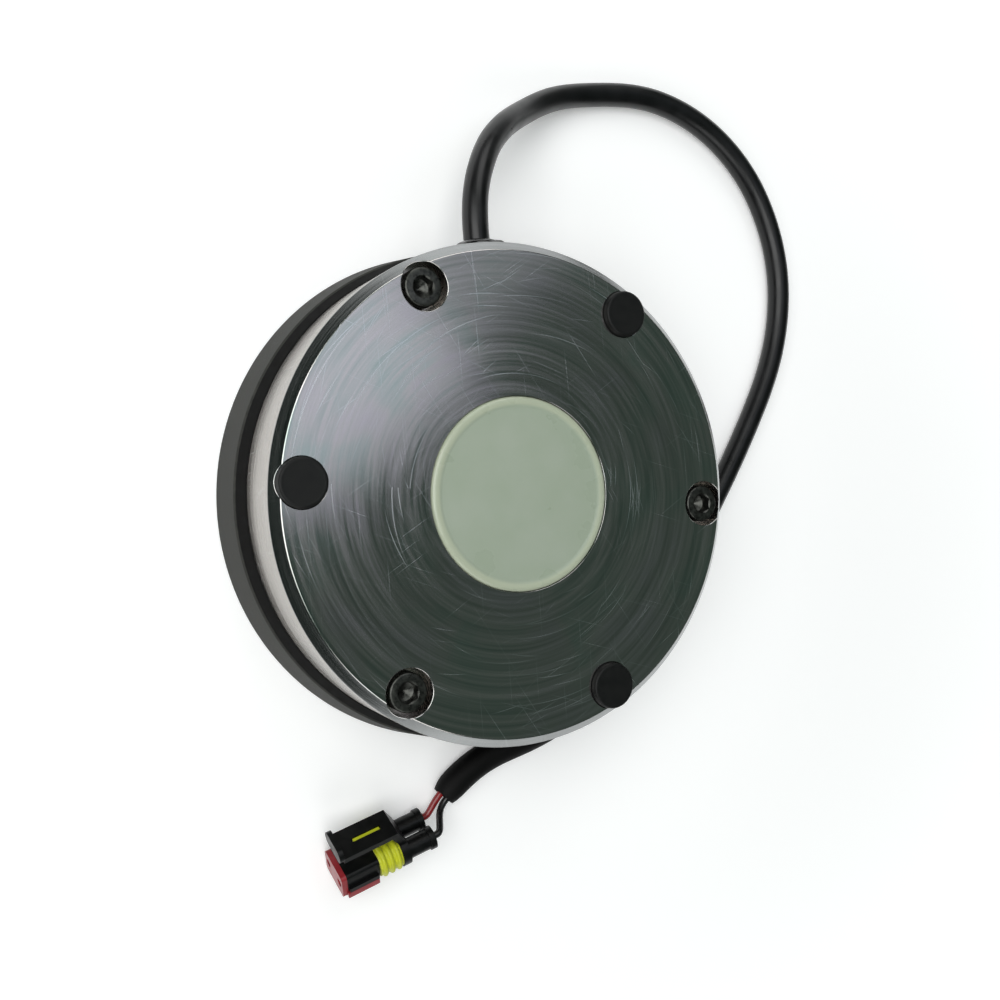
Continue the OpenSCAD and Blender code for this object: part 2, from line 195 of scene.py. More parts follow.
def cut(shape: Shape, tool: Shape) -> Shape:
    """Cuts one solid out of another.

    Args:
        shape: solid that is cut.
        tool: solid that is taken out of it.

    Returns:
        The new solid; both inputs are freed.
    """
    objects = []
    for name, solid in (("shape", shape), ("tool", tool)):
        mesh = bpy.data.meshes.new(name)
        solid.to_mesh(mesh)
        solid.free()
        obj = bpy.data.objects.new(name, mesh)
        bpy.context.scene.collection.objects.link(obj)
        objects.append(obj)
    boolean = objects[0].modifiers.new("cut", "BOOLEAN")
    boolean.object, boolean.operation, boolean.solver = objects[1], "DIFFERENCE", "EXACT"
    left = bmesh.new()
    left.from_object(objects[0], bpy.context.evaluated_depsgraph_get())
    for obj in objects:
        mesh = obj.data
        bpy.data.objects.remove(obj)
        bpy.data.meshes.remove(mesh)
    return left


def around(shape: Shape, radius: float, degrees: Sequence[float]) -> Shape:
    """Repeats a shape on a circle round the shaft axis.

    Args:
        shape: solid on the Z axis, in mm; it is freed.
        radius: radius of the circle.
        degrees: angles of the copies.

    Returns:
        All copies in one.
    """
    out = Matrix.Translation((radius, 0, 0))
    copies = [placed(shape.copy(), Matrix.Rotation(math.radians(angle), 4, "Z") @ out) for angle in degrees]
    shape.free()
    return joined(copies)


def softened(node: str, edge: float) -> Shape:
    """Copies a CAD node with its loose triangles merged and its sharp edges rounded.

    Args:
        node: name of the CAD node.
        edge: width of the rounding in mm.

    Returns:
        The copy in mm.
    """
    shape = bmesh.new()
    shape.from_mesh(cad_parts[node].data)
    bmesh.ops.scale(shape, vec=(1 / MM,) * 3, verts=shape.verts[:])
    bmesh.ops.remove_doubles(shape, verts=shape.verts[:], dist=NODE_SEAM)
    bmesh.ops.dissolve_limit(
        shape, angle_limit=math.radians(FLAT), use_dissolve_boundaries=False, verts=shape.verts[:],
        edges=shape.edges[:], delimit=set(),
    )
    sharp = [side for side in shape.edges
             if len(side.link_faces) == 2 and side.calc_face_angle(0) > math.radians(CORNER)]
    bmesh.ops.bevel(
        shape, geom=sharp, offset=edge, offset_type="OFFSET", segments=2, profile=0.5, affect="EDGES",
        material=-1, clamp_overlap=True,
    )
    return shape


# Finishes

# the range in which a noise mostly lies, and the narrower one of two noises mixed
NOISE = (0.3, 0.7)
MIXED_NOISE = (0.36, 0.64)


def linear(code: str) -> tuple[float, float, float, float]:
    """Turns an sRGB hex colour into the linear colour that a shader takes.

    Args:
        code: the colour, such as #a0b1c2.

    Returns:
        Red, green, blue and an alpha of 1.
    """
    parts = [int(code[start:start + 2], 16) / 255 for start in (1, 3, 5)]
    red, green, blue = (part / 12.92 if part <= 0.04045 else ((part + 0.055) / 1.055) ** 2.4
                        for part in parts)
    return red, green, blue, 1.0


def fill(tree: Tree, node: Node, inputs: dict | Sequence) -> None:
    """Sets or links the sockets of a node.

    Args:
        tree: node tree that holds the node.
        node: the node.
        inputs: values, outputs, or nodes for their first output, by the sockets' names, numbers or order.
    """
    for key, value in inputs.items() if isinstance(inputs, dict) else enumerate(inputs):
        if isinstance(value, Node):
            value = value.outputs[0]
        if isinstance(value, Socket):
            tree.links.new(value, node.inputs[key])
        else:
            node.inputs[key].default_value = value


def add(
    tree: Tree, kind: str, inputs: dict | Sequence = (), stops: Sequence[tuple[float, str]] = (),
    **settings: object,
) -> Node:
    """Adds one node with its settings and links.

    Args:
        tree: node tree that takes the node.
        kind: type name without its ShaderNode prefix.
        inputs: what its sockets get, as in fill.
        stops: a colour ramp's places from 0 to 1 and their hex colours.
        settings: attributes of the node.

    Returns:
        The node.
    """
    node = tree.nodes.new("ShaderNode" + kind)
    for name, value in settings.items():
        setattr(node, name, value)
    fill(tree, node, inputs)
    if stops:
        marks = node.color_ramp.elements
        while len(marks) < len(stops):
            marks.new(0.5)
        for mark, (place, code) in zip(marks, stops):
            mark.position, mark.color = place, linear(code)
    return node


def off_axis(tree: Tree, place: Socket) -> tuple[Node, Socket]:
    """Measures a place from the shaft axis.

    Args:
        tree: node tree of the material.
        place: the surface's place.

    Returns:
        The step from the axis to the place, and its length.
    """
    step = add(tree, "VectorMath", (place, (1, 1, 0)), operation="MULTIPLY")
    return step, add(tree, "VectorMath", (step,), operation="LENGTH").outputs["Value"]


@dataclass(frozen=True)
class Finish:
    """A surface as its making leaves it: values that stay the same all over it, and a grain on top."""

    name: str
    colour: str
    other: str
    roughness: float
    grain_mm: float = 0.4
    relief_mm: float = 0.02
    metallic: float = 0.0
    ior: float = 1.5
    coat: float = 0.0
    sheen: float = 0.0
    swing: float = 0.06

    def shader(self, tree: Tree) -> Node:
        """Adds the shader with the values that are constant over the surface.

        Args:
            tree: node tree of the material.

        Returns:
            The shader, linked to the material's output.
        """
        node = add(tree, "BsdfPrincipled", {
            "Roughness": self.roughness, "Metallic": self.metallic, "IOR": self.ior,
            "Coat Weight": self.coat, "Coat Roughness": 0.15, "Sheen Weight": self.sheen,
        })
        add(tree, "OutputMaterial", (node,))
        return node

    def gloss(self, tree: Tree, value: Node, low: float, high: float) -> Node:
        """Lets the roughness swing with a value that goes from low to high, and returns it."""
        least, most = self.roughness - self.swing, self.roughness + self.swing
        return add(tree, "MapRange", (value, low, high, least, most))

    def pattern(self, tree: Tree, shader: Node) -> None:
        """Draws the grain: a mottle ten times as wide in the colour and the gloss, and a fine relief.

        Args:
            tree: node tree of the material.
            shader: the shader that takes the pattern.
        """
        place = add(tree, "TexCoord").outputs["Object"]
        mottle = add(tree, "TexNoise", {"Vector": place, "Scale": 0.1 / (self.grain_mm * MM), "Detail": 4.0})
        grain = add(tree, "TexNoise", {"Vector": place, "Scale": 1 / (self.grain_mm * MM), "Detail": 2.0})
        low, high = NOISE
        fill(tree, shader, {
            "Base Color": add(tree, "ValToRGB", (mottle,), ((low, self.colour), (high, self.other))),
            "Roughness": self.gloss(tree, mottle, low, high),
            "Normal": add(tree, "Bump", {"Height": grain, "Strength": 0.6, "Distance": self.relief_mm * MM}),
        })

    def material(self) -> bpy.types.Material:
        """Builds the material, or returns it if it is there already."""
        if self.name in bpy.data.materials:
            return bpy.data.materials[self.name]
        made = bpy.data.materials.new(self.name)
        made.use_nodes = True
        made.node_tree.nodes.clear()
        self.pattern(made.node_tree, self.shader(made.node_tree))
        made.diffuse_color = linear(self.colour)
        return made


@dataclass(frozen=True)
class Rimmed(Finish):
    """A moulded disc with a paler rim, which is a painted highlight on its rounded edge."""

    # the colour of the rim's painted highlight, and the radii between which it fades in
    rim: str = "#adb59f"
    inner_mm: float = 22.4
    outer_mm: float = 23.4

    def pattern(self, tree: Tree, shader: Node) -> None:
        """Draws the grain, then the rim's painted highlight by its distance from the axis.

        Args:
            tree: node tree of the material.
            shader: the shader that takes the pattern.
        """
        super().pattern(tree, shader)
        _, radius = off_axis(tree, add(tree, "TexCoord").outputs["Object"])
        edge = add(tree, "MapRange", (radius, self.inner_mm * MM, self.outer_mm * MM),
                   interpolation_type="SMOOTHSTEP")
        middle = shader.inputs["Base Color"].links[0].from_socket
        both = add(tree, "Mix", {0: edge, 6: middle, 7: linear(self.rim)}, data_type="RGBA")
        fill(tree, shader, {"Base Color": both.outputs[2]})


@dataclass(frozen=True)
class Scratches:
    """One family of scratches: long cells with a thin line in the heart of each."""

    ringwise: bool
    degrees: float
    long_mm: float
    wide_mm: float
    depth: float


# share of its cell that a scratch fills, and where it reaches its full depth
LINE, HEART = 0.3, 0.06
# real scratches are a few hundredths of a millimetre wide; these are drawn up to 0.34 mm wide to show
SCRATCH_FAMILIES = (
    Scratches(True, 1, 44, 0.34, 0.9), Scratches(True, -4, 24, 0.3, 0.9),
    Scratches(True, 7, 13, 0.3, 0.8), Scratches(True, -20, 10, 0.26, 0.6),
    Scratches(False, 128, 26, 0.26, 0.6), Scratches(False, 98, 18, 0.22, 0.6),
    Scratches(False, 38, 13, 0.22, 0.6), Scratches(False, 165, 16, 0.2, 0.5),
)


@dataclass(frozen=True)
class Turned(Finish):
    """Lathe-turned metal: rings of tool marks with painted shade in their grooves, three tones of wiped
    metal, and handling scratches with a painted glint.
    """

    swing: float = 0.05
    third: str = "#b7b9be"
    feed_mm: float = 1.0
    stretch: float = 0.1
    scratches: float = 1.0
    # how strongly the grooves are darkened, then the colours of the grooves' painted shade and of the
    # scratches' painted glint
    ringing: float = 0.5
    groove_shade_colour: str = "#5a5f5e"
    scratch_glint_colour: str = "#eef1f4"

    def pattern(self, tree: Tree, shader: Node) -> None:
        """Draws rings, scratches and mottle, and lays the gloss across the rings.

        Args:
            tree: node tree of the material.
            shader: the shader that takes the pattern.
        """
        coords = add(tree, "TexCoord").outputs
        place = coords["Object"]
        x, y, z = add(tree, "SeparateXYZ", (place,)).outputs
        flat, radius = off_axis(tree, place)
        along = add(tree, "Math", (radius, z), operation="SUBTRACT")
        turn = add(tree, "Math", (y, x), operation="ARCTAN2")
        groove = self.grooves(tree, flat, along)
        lines = self.scratched(tree, place, turn, along)
        circle = add(tree, "VectorMath", ((0, 0, 1), place), operation="CROSS_PRODUCT")
        # a scratch is rougher than the metal round it and cuts a little into it
        relief = add(tree, "Math", (lines, -0.08, groove), operation="MULTIPLY_ADD")
        gloss = self.gloss(tree, groove, *MIXED_NOISE)
        fill(tree, shader, {
            "Base Color": self.tone(tree, place, groove, lines),
            "Roughness": add(tree, "Math", (lines, 0.2, gloss), operation="MULTIPLY_ADD"),
            "Anisotropic": self.stretch,
            "Tangent": add(tree, "VectorMath", (coords["Normal"], circle), operation="CROSS_PRODUCT"),
            "Normal": add(tree, "Bump", {"Height": relief, "Strength": 0.5, "Distance": self.relief_mm * MM}),
        })

    def grooves(self, tree: Tree, flat: Node, along: Node) -> Node:
        """Draws the tool marks: fine rings at the feed, and rings four times as wide.

        Args:
            tree: node tree of the material.
            flat: the step from the shaft axis to the place.
            along: the distance along the turned outline.

        Returns:
            The height of the marks, from 0 to 1.
        """
        heading = add(tree, "VectorMath", (flat,), operation="NORMALIZE")
        marks = []
        # a ring changes slowly along its turn, the fine ones faster than the wide ones
        for feed, bend in ((self.feed_mm, 2.2), (self.feed_mm * 4, 0.9)):
            step = add(tree, "Math", (along, 1 / (feed * MM)), operation="MULTIPLY")
            rings = add(tree, "CombineXYZ", (step,))
            track = add(tree, "VectorMath", (heading, (bend, bend, 0), rings), operation="MULTIPLY_ADD")
            marks.append(add(tree, "TexNoise", {"Vector": track, "Scale": 1.0, "Detail": 3.0}))
        return add(tree, "Mix", {0: 0.45, 2: marks[0], 3: marks[1]}, data_type="FLOAT")

    def scratched(self, tree: Tree, place: Socket, turn: Node, along: Node) -> Node:
        """Draws the scratches, which are stronger in the patches that were handled most.

        Args:
            tree: node tree of the material.
            place: the surface's place.
            turn: its angle round the shaft axis.
            along: its distance along the turned outline.

        Returns:
            The strength of the scratches, 0 beside them.
        """
        # waves about 110 mm long bend the straight families by up to 8 mm
        wander = add(tree, "TexNoise", {"Vector": place, "Scale": 9.0, "Detail": 0.0}).outputs["Color"]
        bent = add(tree, "VectorMath", (wander, (0.008, 0.008, 0), place), operation="MULTIPLY_ADD")
        # the ringwise families have their full length at a radius of 45 mm
        arc = add(tree, "Math", (turn, 0.045), operation="MULTIPLY")
        arcs = add(tree, "CombineXYZ", (arc, along))
        lines = None
        for family in SCRATCH_FAMILIES:
            long, wide = family.long_mm * MM / LINE, family.wide_mm * MM / LINE
            cell = add(tree, "Mapping", {
                "Vector": arcs if family.ringwise else bent, "Scale": (long, wide, long),
                "Rotation": (0, 0, math.radians(family.degrees)),
            }, vector_type="TEXTURE")
            near = add(tree, "TexVoronoi", {"Vector": cell, "Scale": 1.0})
            line = add(tree, "MapRange", (near, LINE / 2, HEART, 0.0, self.scratches * family.depth))
            lines = add(tree, "Math", (lines, line), operation="MAXIMUM") if lines else line
        # patches about 17 mm wide
        handled = add(tree, "TexNoise", {"Vector": place, "Scale": 60.0, "Detail": 1.0})
        held = add(tree, "MapRange", (handled, 0.36, 0.62, 0.25, 1.0))
        return add(tree, "Math", (lines, held), operation="MULTIPLY")

    def tone(self, tree: Tree, place: Socket, groove: Node, lines: Node) -> Socket:
        """Mixes the three tones of the wiped metal, the painted shade of its grooves and the painted glint of
        its scratches.

        Args:
            tree: node tree of the material.
            place: the surface's place.
            groove: the height of the tool marks.
            lines: the strength of the scratches.

        Returns:
            The colour.
        """
        # patches about 22 mm wide
        patch = add(tree, "TexNoise", {"Vector": place, "Scale": 45.0, "Detail": 3.0, "Distortion": 0.6})
        shade = add(tree, "Mix", {0: 0.5, 2: patch, 3: groove}, data_type="FLOAT")
        low, high = MIXED_NOISE
        tone = add(tree, "ValToRGB", (shade,), ((low, self.colour), (0.5, self.other), (high, self.third)))
        # the grooves are darkened with painted shade, and the scratches brightened with a painted glint
        dark = add(tree, "MapRange", (groove, low, high, self.ringing, 0.0))
        scratch_glint = add(tree, "Math", (lines, 0.8), operation="MULTIPLY")
        for share, code in ((dark, self.groove_shade_colour), (scratch_glint, self.scratch_glint_colour)):
            tone = add(tree, "Mix", {0: share, 6: tone, 7: linear(code)}, data_type="RGBA").outputs[2]
        return tone


# turned and polished steel face: soft mirror of the room, fine rings, green-grey and brown-grey mottle
FACE_STEEL = Turned(
    "turned_polished_steel_face", "#abb8b1", "#bebbb8", 0.165, metallic=1.0, third="#c0b9be",
    relief_mm=0.006, stretch=0.2, ringing=0.4,
)
# finer cut of the chamfer: cleaner than the face, with its colour darkened as painted shade
CHAMFER_STEEL = Turned(
    "turned_steel_chamfer", "#858989", "#929494", 0.17, metallic=1.0, third="#9a9b9d",
    relief_mm=0.002, feed_mm=0.5, scratches=0.25, ringing=0.2,
)
# drawn and turned steel wall: smoother than the face and blurred, so it takes the pale floor's tone
WALL_STEEL = Turned(
    "turned_steel_wall", "#a9a39d", "#b2aca6", 0.26, metallic=1.0, third="#aeaaa5",
    relief_mm=0.002, feed_mm=0.6, scratches=0.4, ringing=0.15,
)
# black oxide on steel: a thin dark skin over metal, a little shiny
BLACK_OXIDE = Finish("black_oxide_steel", "#2c2d2b", "#52534f", 0.3, 0.12, 0.012, metallic=0.85)
# moulded polypropylene plug: dull black with a faint moulded grain
PLUG_PLASTIC = Finish("moulded_black_plug_plastic", "#0a0b0b", "#0f100f", 0.52, 0.25, 0.012, ior=1.34)
# moulded translucent nylon: pale green with a soft gloss, and a paler, slightly yellow rim that is painted
# highlight
CAP_PLASTIC = Rimmed("moulded_pale_green_nylon", "#99a592", "#a0aa9a", 0.3, 1.2, 0.006, coat=0.3)
# moulded nitrile rubber: dull, slightly brown black
RING_RUBBER = Finish("moulded_nitrile_rubber", "#050505", "#090807", 0.72, 0.3, 0.02, ior=1.26)
# sand-cast iron, washed with thin grey paint: mottled and gritty
CAST_IRON = Finish("sand_cast_grey_iron", "#242522", "#383834", 0.66, 0.18, 0.07, metallic=0.08, ior=1.4)
# faced mounting side of the casting: bare grey iron with the lathe's rings, no paint
FACED_IRON = Turned(
    "faced_grey_iron", "#5c5d5b", "#696a67", 0.42, metallic=0.9, third="#737471",
    relief_mm=0.01, feed_mm=0.5, stretch=0.3, scratches=0.5, ringing=0.35,
)
# extruded rubber-jacketed lead: satin black, slightly uneven
JACKET = Finish("extruded_rubber_jacket", "#0a0a0b", "#0e0e10", 0.33, 0.6, 0.003, ior=1.45)
# shrunk polyolefin sleeve: tight, dull black skin
SLEEVE = Finish("shrunk_polyolefin_sleeve", "#030303", "#060606", 0.62, 0.5, 0.02, ior=1.25)
# cured neoprene sealant: wet-looking black bead
SEALANT = Finish("cured_black_sealant", "#060607", "#0a0a0b", 0.2, 1.5, 0.12, coat=0.4)
# extruded PVC insulation: smooth and glossy
RED_PVC = Finish("extruded_red_pvc", "#7a1418", "#86181c", 0.28, 0.3, 0.004, coat=0.3)
# the same insulation in black
BLACK_PVC = Finish("extruded_black_pvc", "#101011", "#151516", 0.28, 0.3, 0.004, coat=0.3)
# glass-filled nylon moulding: black with a faint grey grain
SHELL_NYLON = Finish("moulded_black_nylon", "#050606", "#090a0a", 0.36, 0.2, 0.01, ior=1.33)
# moulded silicone: dense yellow-green with a soft shine
SEAL_SILICONE = Finish(
    "moulded_yellow_green_silicone", "#b4ba1c", "#c0c524", 0.4, 0.3, 0.008, sheen=0.1, ior=1.43,
)
# moulded nylon of the terminal lock: deep red, a little shinier than the shell
LOCK_NYLON = Finish("moulded_red_nylon", "#871d24", "#94242b", 0.35, 0.25, 0.008, coat=0.1)
# stamped brass terminals: warm yellow and bright
BRASS = Finish("stamped_brass", "#b5964a", "#c0a45a", 0.3, 0.4, 0.004, metallic=1.0)
# moulded natural nylon of the coil's spool: cream with a soft sheen
BOBBIN = Finish("moulded_natural_nylon", "#cfc8b4", "#d8d2c0", 0.45, 0.4, 0.01)
# wound enamelled copper: brown-red, with a groove at every turn of the wire
WINDING = Turned(
    "wound_enamelled_copper", "#8a4422", "#a85a30", 0.3, metallic=0.9, relief_mm=0.12, feed_mm=0.7,
    scratches=0.0,
)
# cast potting resin: dark brown and glassy
POTTING = Finish("cast_potting_resin", "#2a231f", "#322a25", 0.25, 1.0, 0.02, coat=0.3)
# drawn spring wire: bright grey
SPRING_WIRE = Finish("drawn_spring_wire", "#8c8e90", "#9c9ea0", 0.3, 0.2, 0.004, metallic=1.0)
# ground armature steel: mid grey with faint rings
GROUND_STEEL = Turned(
    "ground_armature_steel", "#777a7d", "#8c8f91", 0.35, metallic=1.0, relief_mm=0.006, scratches=0.3,
)
# turned spacer sleeves: clean pale steel
SLEEVE_STEEL = Finish("turned_sleeve_steel", "#a8aaac", "#b6b8ba", 0.3, 0.3, 0.004, metallic=1.0)
# milled rotor carrier: grey steel, duller than the ground plate
CARRIER_STEEL = Turned(
    "milled_carrier_steel", "#85878a", "#96989a", 0.38, metallic=1.0, relief_mm=0.008, scratches=0.3,
)
# pressed friction lining: matt, dark brown and coarse
LINING = Finish("pressed_friction_lining", "#332d27", "#4a4238", 0.85, 0.8, 0.12)
# machined hub: bright steel with fine rings
HUB_STEEL = Turned(
    "machined_hub_steel", "#9fa1a3", "#adafb1", 0.3, metallic=1.0, relief_mm=0.006, scratches=0.3,
)


# Pieces


def piece(
    shape: Shape, name: str, finish: Finish, node: str, body: Body = Body.ROOT,
    sharp: float = 28.0,
) -> Piece:
    """Makes a finished piece of a shape.

    Args:
        shape: shape in mm, which is freed.
        name: name of the piece.
        finish: its finish.
        node: CAD node that it stands for.
        body: CAD body that it rides on.
        sharp: angle in degrees above which an edge stays sharp.

    Returns:
        The piece, in metres, at the origin.
    """
    bmesh.ops.scale(shape, vec=(MM,) * 3, verts=shape.verts[:])
    mesh = bpy.data.meshes.new(name)
    shape.to_mesh(mesh)
    shape.free()
    mesh.shade_smooth()
    mesh.set_sharp_from_angle(angle=math.radians(sharp))
    mesh.materials.append(finish.material())
    obj = bpy.data.objects.new(name, mesh)
    bpy.context.scene.collection.objects.link(obj)
    even = obj.modifiers.new("even", "WEIGHTED_NORMAL")
    even.weight, even.keep_sharp = 100, True
    return mounted(obj, node, body)


def mounted(obj: Piece, node: str, body: Body = Body.ROOT) -> Piece:
    """Puts a piece on its CAD body in place of its CAD node, and reports it.

    Args:
        obj: the piece.
        node: CAD node that it stands for.
        body: CAD body that it rides on.

    Returns:
        The same piece.
    """
    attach(obj, body.value)
    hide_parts(node)
    log.info("%s stands for %s on body %s", obj.name, node, body.value)
    return obj


def dress(node: str, finish: Finish) -> None:
    """Gives a carried-over CAD node its finish.

    Args:
        node: name of the CAD node.
        finish: its finish.
    """
    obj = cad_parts[node]
    material = finish.material()
    if not obj.material_slots:
        obj.data.materials.append(material)
    for slot in obj.material_slots:
        slot.material = material
    log.info("%s keeps its CAD shape in %s", node, material.name)


# The studio


@dataclass(frozen=True)
class Softbox:
    """A square lamp that looks at the object, hidden from the camera."""

    name: str
    place: tuple[float, float, float]
    side: float
    power: float
    tint: str = "#ffffff"

    def hang(self, target: Vector) -> None:
        """Hangs the lamp.

        Args:
            target: the point in metres that it looks at.
        """
        data = bpy.data.lights.new(self.name, "AREA")
        data.shape, data.size, data.energy = "SQUARE", self.side, self.power
        data.color = linear(self.tint)[:3]
        obj = bpy.data.objects.new(self.name, data)
        away = Vector(self.place) - target
        obj.matrix_world = Matrix.Translation(self.place) @ away.to_track_quat("Z", "Y").to_matrix().to_4x4()
        obj.visible_camera = False
        bpy.context.scene.collection.objects.link(obj)


@dataclass(frozen=True)
class Studio:
    """The photograph's camera, a pale floor and plain soft light."""

    # the camera: focal length and place in mm, and its turns in radians
    lens: float = 37.58
    eye: tuple[float, float, float] = (-123.08, -8.92, 277.85)
    pitch: float = -0.00977
    yaw: float = 0.45822
    roll: float = -0.0386
    # the floor, in metres: its radius, how far it lies under the object, and the reach of the shadow
    floor_radius: float = 6.0
    floor_drop: float = 0.0001
    shadow_from: float = 0.12
    shadow_to: float = 0.6
    # the share of the light that the floor's paper gives back
    paper: float = 0.93
    # the room's colours by height: a white horizon and a dim ceiling
    room: tuple[tuple[float, str], ...] = (
        (0.0, "#ffffff"), (0.07, "#323935"), (0.35, "#3c4540"), (0.7, "#4f5b55"),
    )
    # places and sides in metres, powers in watts
    softboxes: tuple[Softbox, ...] = (
        Softbox("window", (0.17, 0.165, 0.87), 0.262, 0.25, "#e6e8f8"),
        Softbox("sky", (0.345, 0.45, 0.87), 0.36, 0.16, "#e6eaf8"),
        Softbox("left", (-0.48, 0.05, 0.82), 0.85, 7.5),
        Softbox("back", (0.05, 0.8, 0.6), 0.6, 2.2),
        Softbox("front", (-0.1, -0.8, 0.6), 0.6, 2.2),
    )
    target: tuple[float, float, float] = (0.0, 0.0, 0.02)

    def camera(self) -> None:
        """Sets the camera at the photograph's viewpoint."""
        data = bpy.data.cameras.new("camera")
        data.lens, data.sensor_width, data.clip_start = self.lens, 36.0, 0.01
        look = Matrix.Identity(4)
        for angle, axis in ((self.pitch, "X"), (self.yaw, "Y"), (self.roll, "Z")):
            look = look @ Matrix.Rotation(angle, 4, axis)
        obj = bpy.data.objects.new("camera", data)
        obj.matrix_world = Matrix.Translation(Vector(self.eye) * MM) @ look.transposed()
        bpy.context.scene.collection.objects.link(obj)
        bpy.context.scene.camera = obj

    def floor(self) -> None:
        """Lays a pale sheet under the object."""
        sheet = bmesh.new()
        bmesh.ops.create_circle(sheet, cap_ends=True, segments=96, radius=self.floor_radius,
                                matrix=Matrix.Translation((0, 0, -self.floor_drop)))
        mesh = bpy.data.meshes.new("floor")
        sheet.to_mesh(mesh)
        sheet.free()
        mesh.materials.append(self.white_paper())
        obj = bpy.data.objects.new("floor", mesh)
        bpy.context.scene.collection.objects.link(obj)

    def white_paper(self) -> bpy.types.Material:
        """Makes the floor's matt paper, which the camera, metal and glass see as a white background."""
        made = bpy.data.materials.new("matt_white_paper")
        made.use_nodes = True
        tree = made.node_tree
        tree.nodes.clear()
        rays = add(tree, "LightPath").outputs
        seen = add(tree, "Math", (rays["Is Camera Ray"], rays["Is Glossy Ray"]), operation="ADD")
        seen = add(tree, "Math", (seen, rays["Is Transmission Ray"]), operation="ADD")
        # a strength of 1 far from the object gives white, and 0.2 near it keeps the object's shadow
        place = add(tree, "TexCoord").outputs["Object"]
        away = add(tree, "VectorMath", (place,), operation="LENGTH").outputs["Value"]
        reach = add(tree, "MapRange", (away, self.shadow_from, self.shadow_to, 0.2, 1.0),
                    interpolation_type="SMOOTHSTEP")
        lift = add(tree, "Math", (seen, reach), operation="MULTIPLY")
        paper = add(tree, "BsdfDiffuse", {"Color": (self.paper, self.paper, self.paper, 1.0)})
        glow = add(tree, "Emission", {"Color": linear("#ffffff"), "Strength": lift})
        add(tree, "OutputMaterial", (add(tree, "AddShader", (paper, glow)),))
        return made

    def world(self) -> None:
        """Sets the room that the metal mirrors, with white behind the object."""
        world = bpy.data.worlds.new("room")
        bpy.context.scene.world = world
        world.use_nodes = True
        tree = world.node_tree
        tree.nodes.clear()
        height = add(tree, "SeparateXYZ", (add(tree, "TexCoord").outputs["Generated"],)).outputs[2]
        room = add(tree, "ValToRGB", (height,), self.room)
        seen = add(tree, "LightPath").outputs["Is Camera Ray"]
        level = add(tree, "Mix", {0: seen, 6: room, 7: linear("#ffffff")}, data_type="RGBA").outputs[2]
        add(tree, "OutputWorld", (add(tree, "Background", {"Color": level}),))

    def light(self) -> None:
        """Sets the world and hangs the softboxes."""
        self.world()
        for softbox in self.softboxes:
            softbox.hang(Vector(self.target))


# The object


def smooth(points: Sequence[Vector], steps: int) -> list[Vector]:
    """Draws a smooth line that follows points and starts and ends at the first and the last one.

    Args:
        points: points that it follows.
        steps: parts between two of them.

    Returns:
        The denser points.
    """
    line = [2 * points[0] - points[1], *points, 2 * points[-1] - points[-2]]
    out: list[Vector] = []
    for before, start, end, after in zip(line, line[1:], line[2:], line[3:]):
        for step in range(steps):
            t = step / steps
            out.append(((1 - t) ** 3 * before + (3 * t ** 3 - 6 * t * t + 4) * start
                        + (-3 * t ** 3 + 3 * t * t + 3 * t + 1) * end + t ** 3 * after) / 6)
    return out + [points[-1]]


@dataclass(frozen=True)
class Plug:
    """The sealed two-way connector on the lead's end; its own X runs from its tubes to its front."""

    x: float = -9.0
    y: float = -93.0
    heading: float = 200.0
    roll: float = 58.0
    pitch: float = 7.0
    seal_centre: float = 2.6
    seal_radius: float = 4.75
    # the edge of the lock's tray and the two bars of the seal's tongue: centre and sizes
    tray: Profile = ((22.2, 5.98, -3.4), (9.2, 0.75, 2.05))
    tongue: tuple[Profile, ...] = (((15.1, 0, 6.6), (2.4, 0.9, 4.6)), ((17.75, 0, 8.8), (7.7, 1.0, 1.1)))
    # widths of the roundings of the moulded edges
    shell_edge: float = 0.12
    lock_edge: float = 0.15
    seal_edge: float = 0.05

    def matrix(self) -> Matrix:
        """Returns the turn and place from the connector's own frame, in mm."""
        height = self.seal_centre * math.sin(math.radians(self.roll)) + self.seal_radius
        heading = Matrix.Rotation(math.radians(self.heading), 4, "Z")
        roll = Matrix.Rotation(math.radians(self.roll), 4, "X")
        return Matrix.Translation((self.x, self.y, height)) @ (heading @ roll)

    def point(self, x: float, y: float, z: float) -> Vector:
        """Returns a point of the connector's frame in the object's frame."""
        return self.matrix() @ Vector((x, y, z))

    def lock(self) -> Shape:
        """Copies the lock and adds the edge of its tray that shows under the shell's side rail."""
        edge = block(*self.tray)
        bmesh.ops.bevel(edge, geom=edge.edges[:], offset=self.shell_edge, offset_type="OFFSET", segments=2,
                        profile=0.5, affect="EDGES", material=-1)
        return joined([softened("secondary_lock", self.lock_edge), placed(edge, self.matrix())])

    def seal(self) -> Shape:
        """Copies the seal and adds its tongue, which shows in the latch's slot."""
        bars = [placed(block(*bar), self.matrix()) for bar in self.tongue]
        return joined([softened("interface_seal", self.seal_edge), *bars])

    def build(self) -> list[Piece]:
        """Makes the shell, the seal and the lock, and dresses what stays inside."""
        made = [
            piece(softened("connector_housing", self.shell_edge), "connector_shell", SHELL_NYLON,
                  "connector_housing"),
            piece(self.seal(), "ribbed_seal", SEAL_SILICONE, "interface_seal", sharp=60),
            piece(self.lock(), "terminal_lock", LOCK_NYLON, "secondary_lock", Body.LOCK),
        ]
        for node, finish in (("wire_seals", SEAL_SILICONE), ("terminals", BRASS)):
            dress(node, finish)
            made.append(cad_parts[node])
        return made


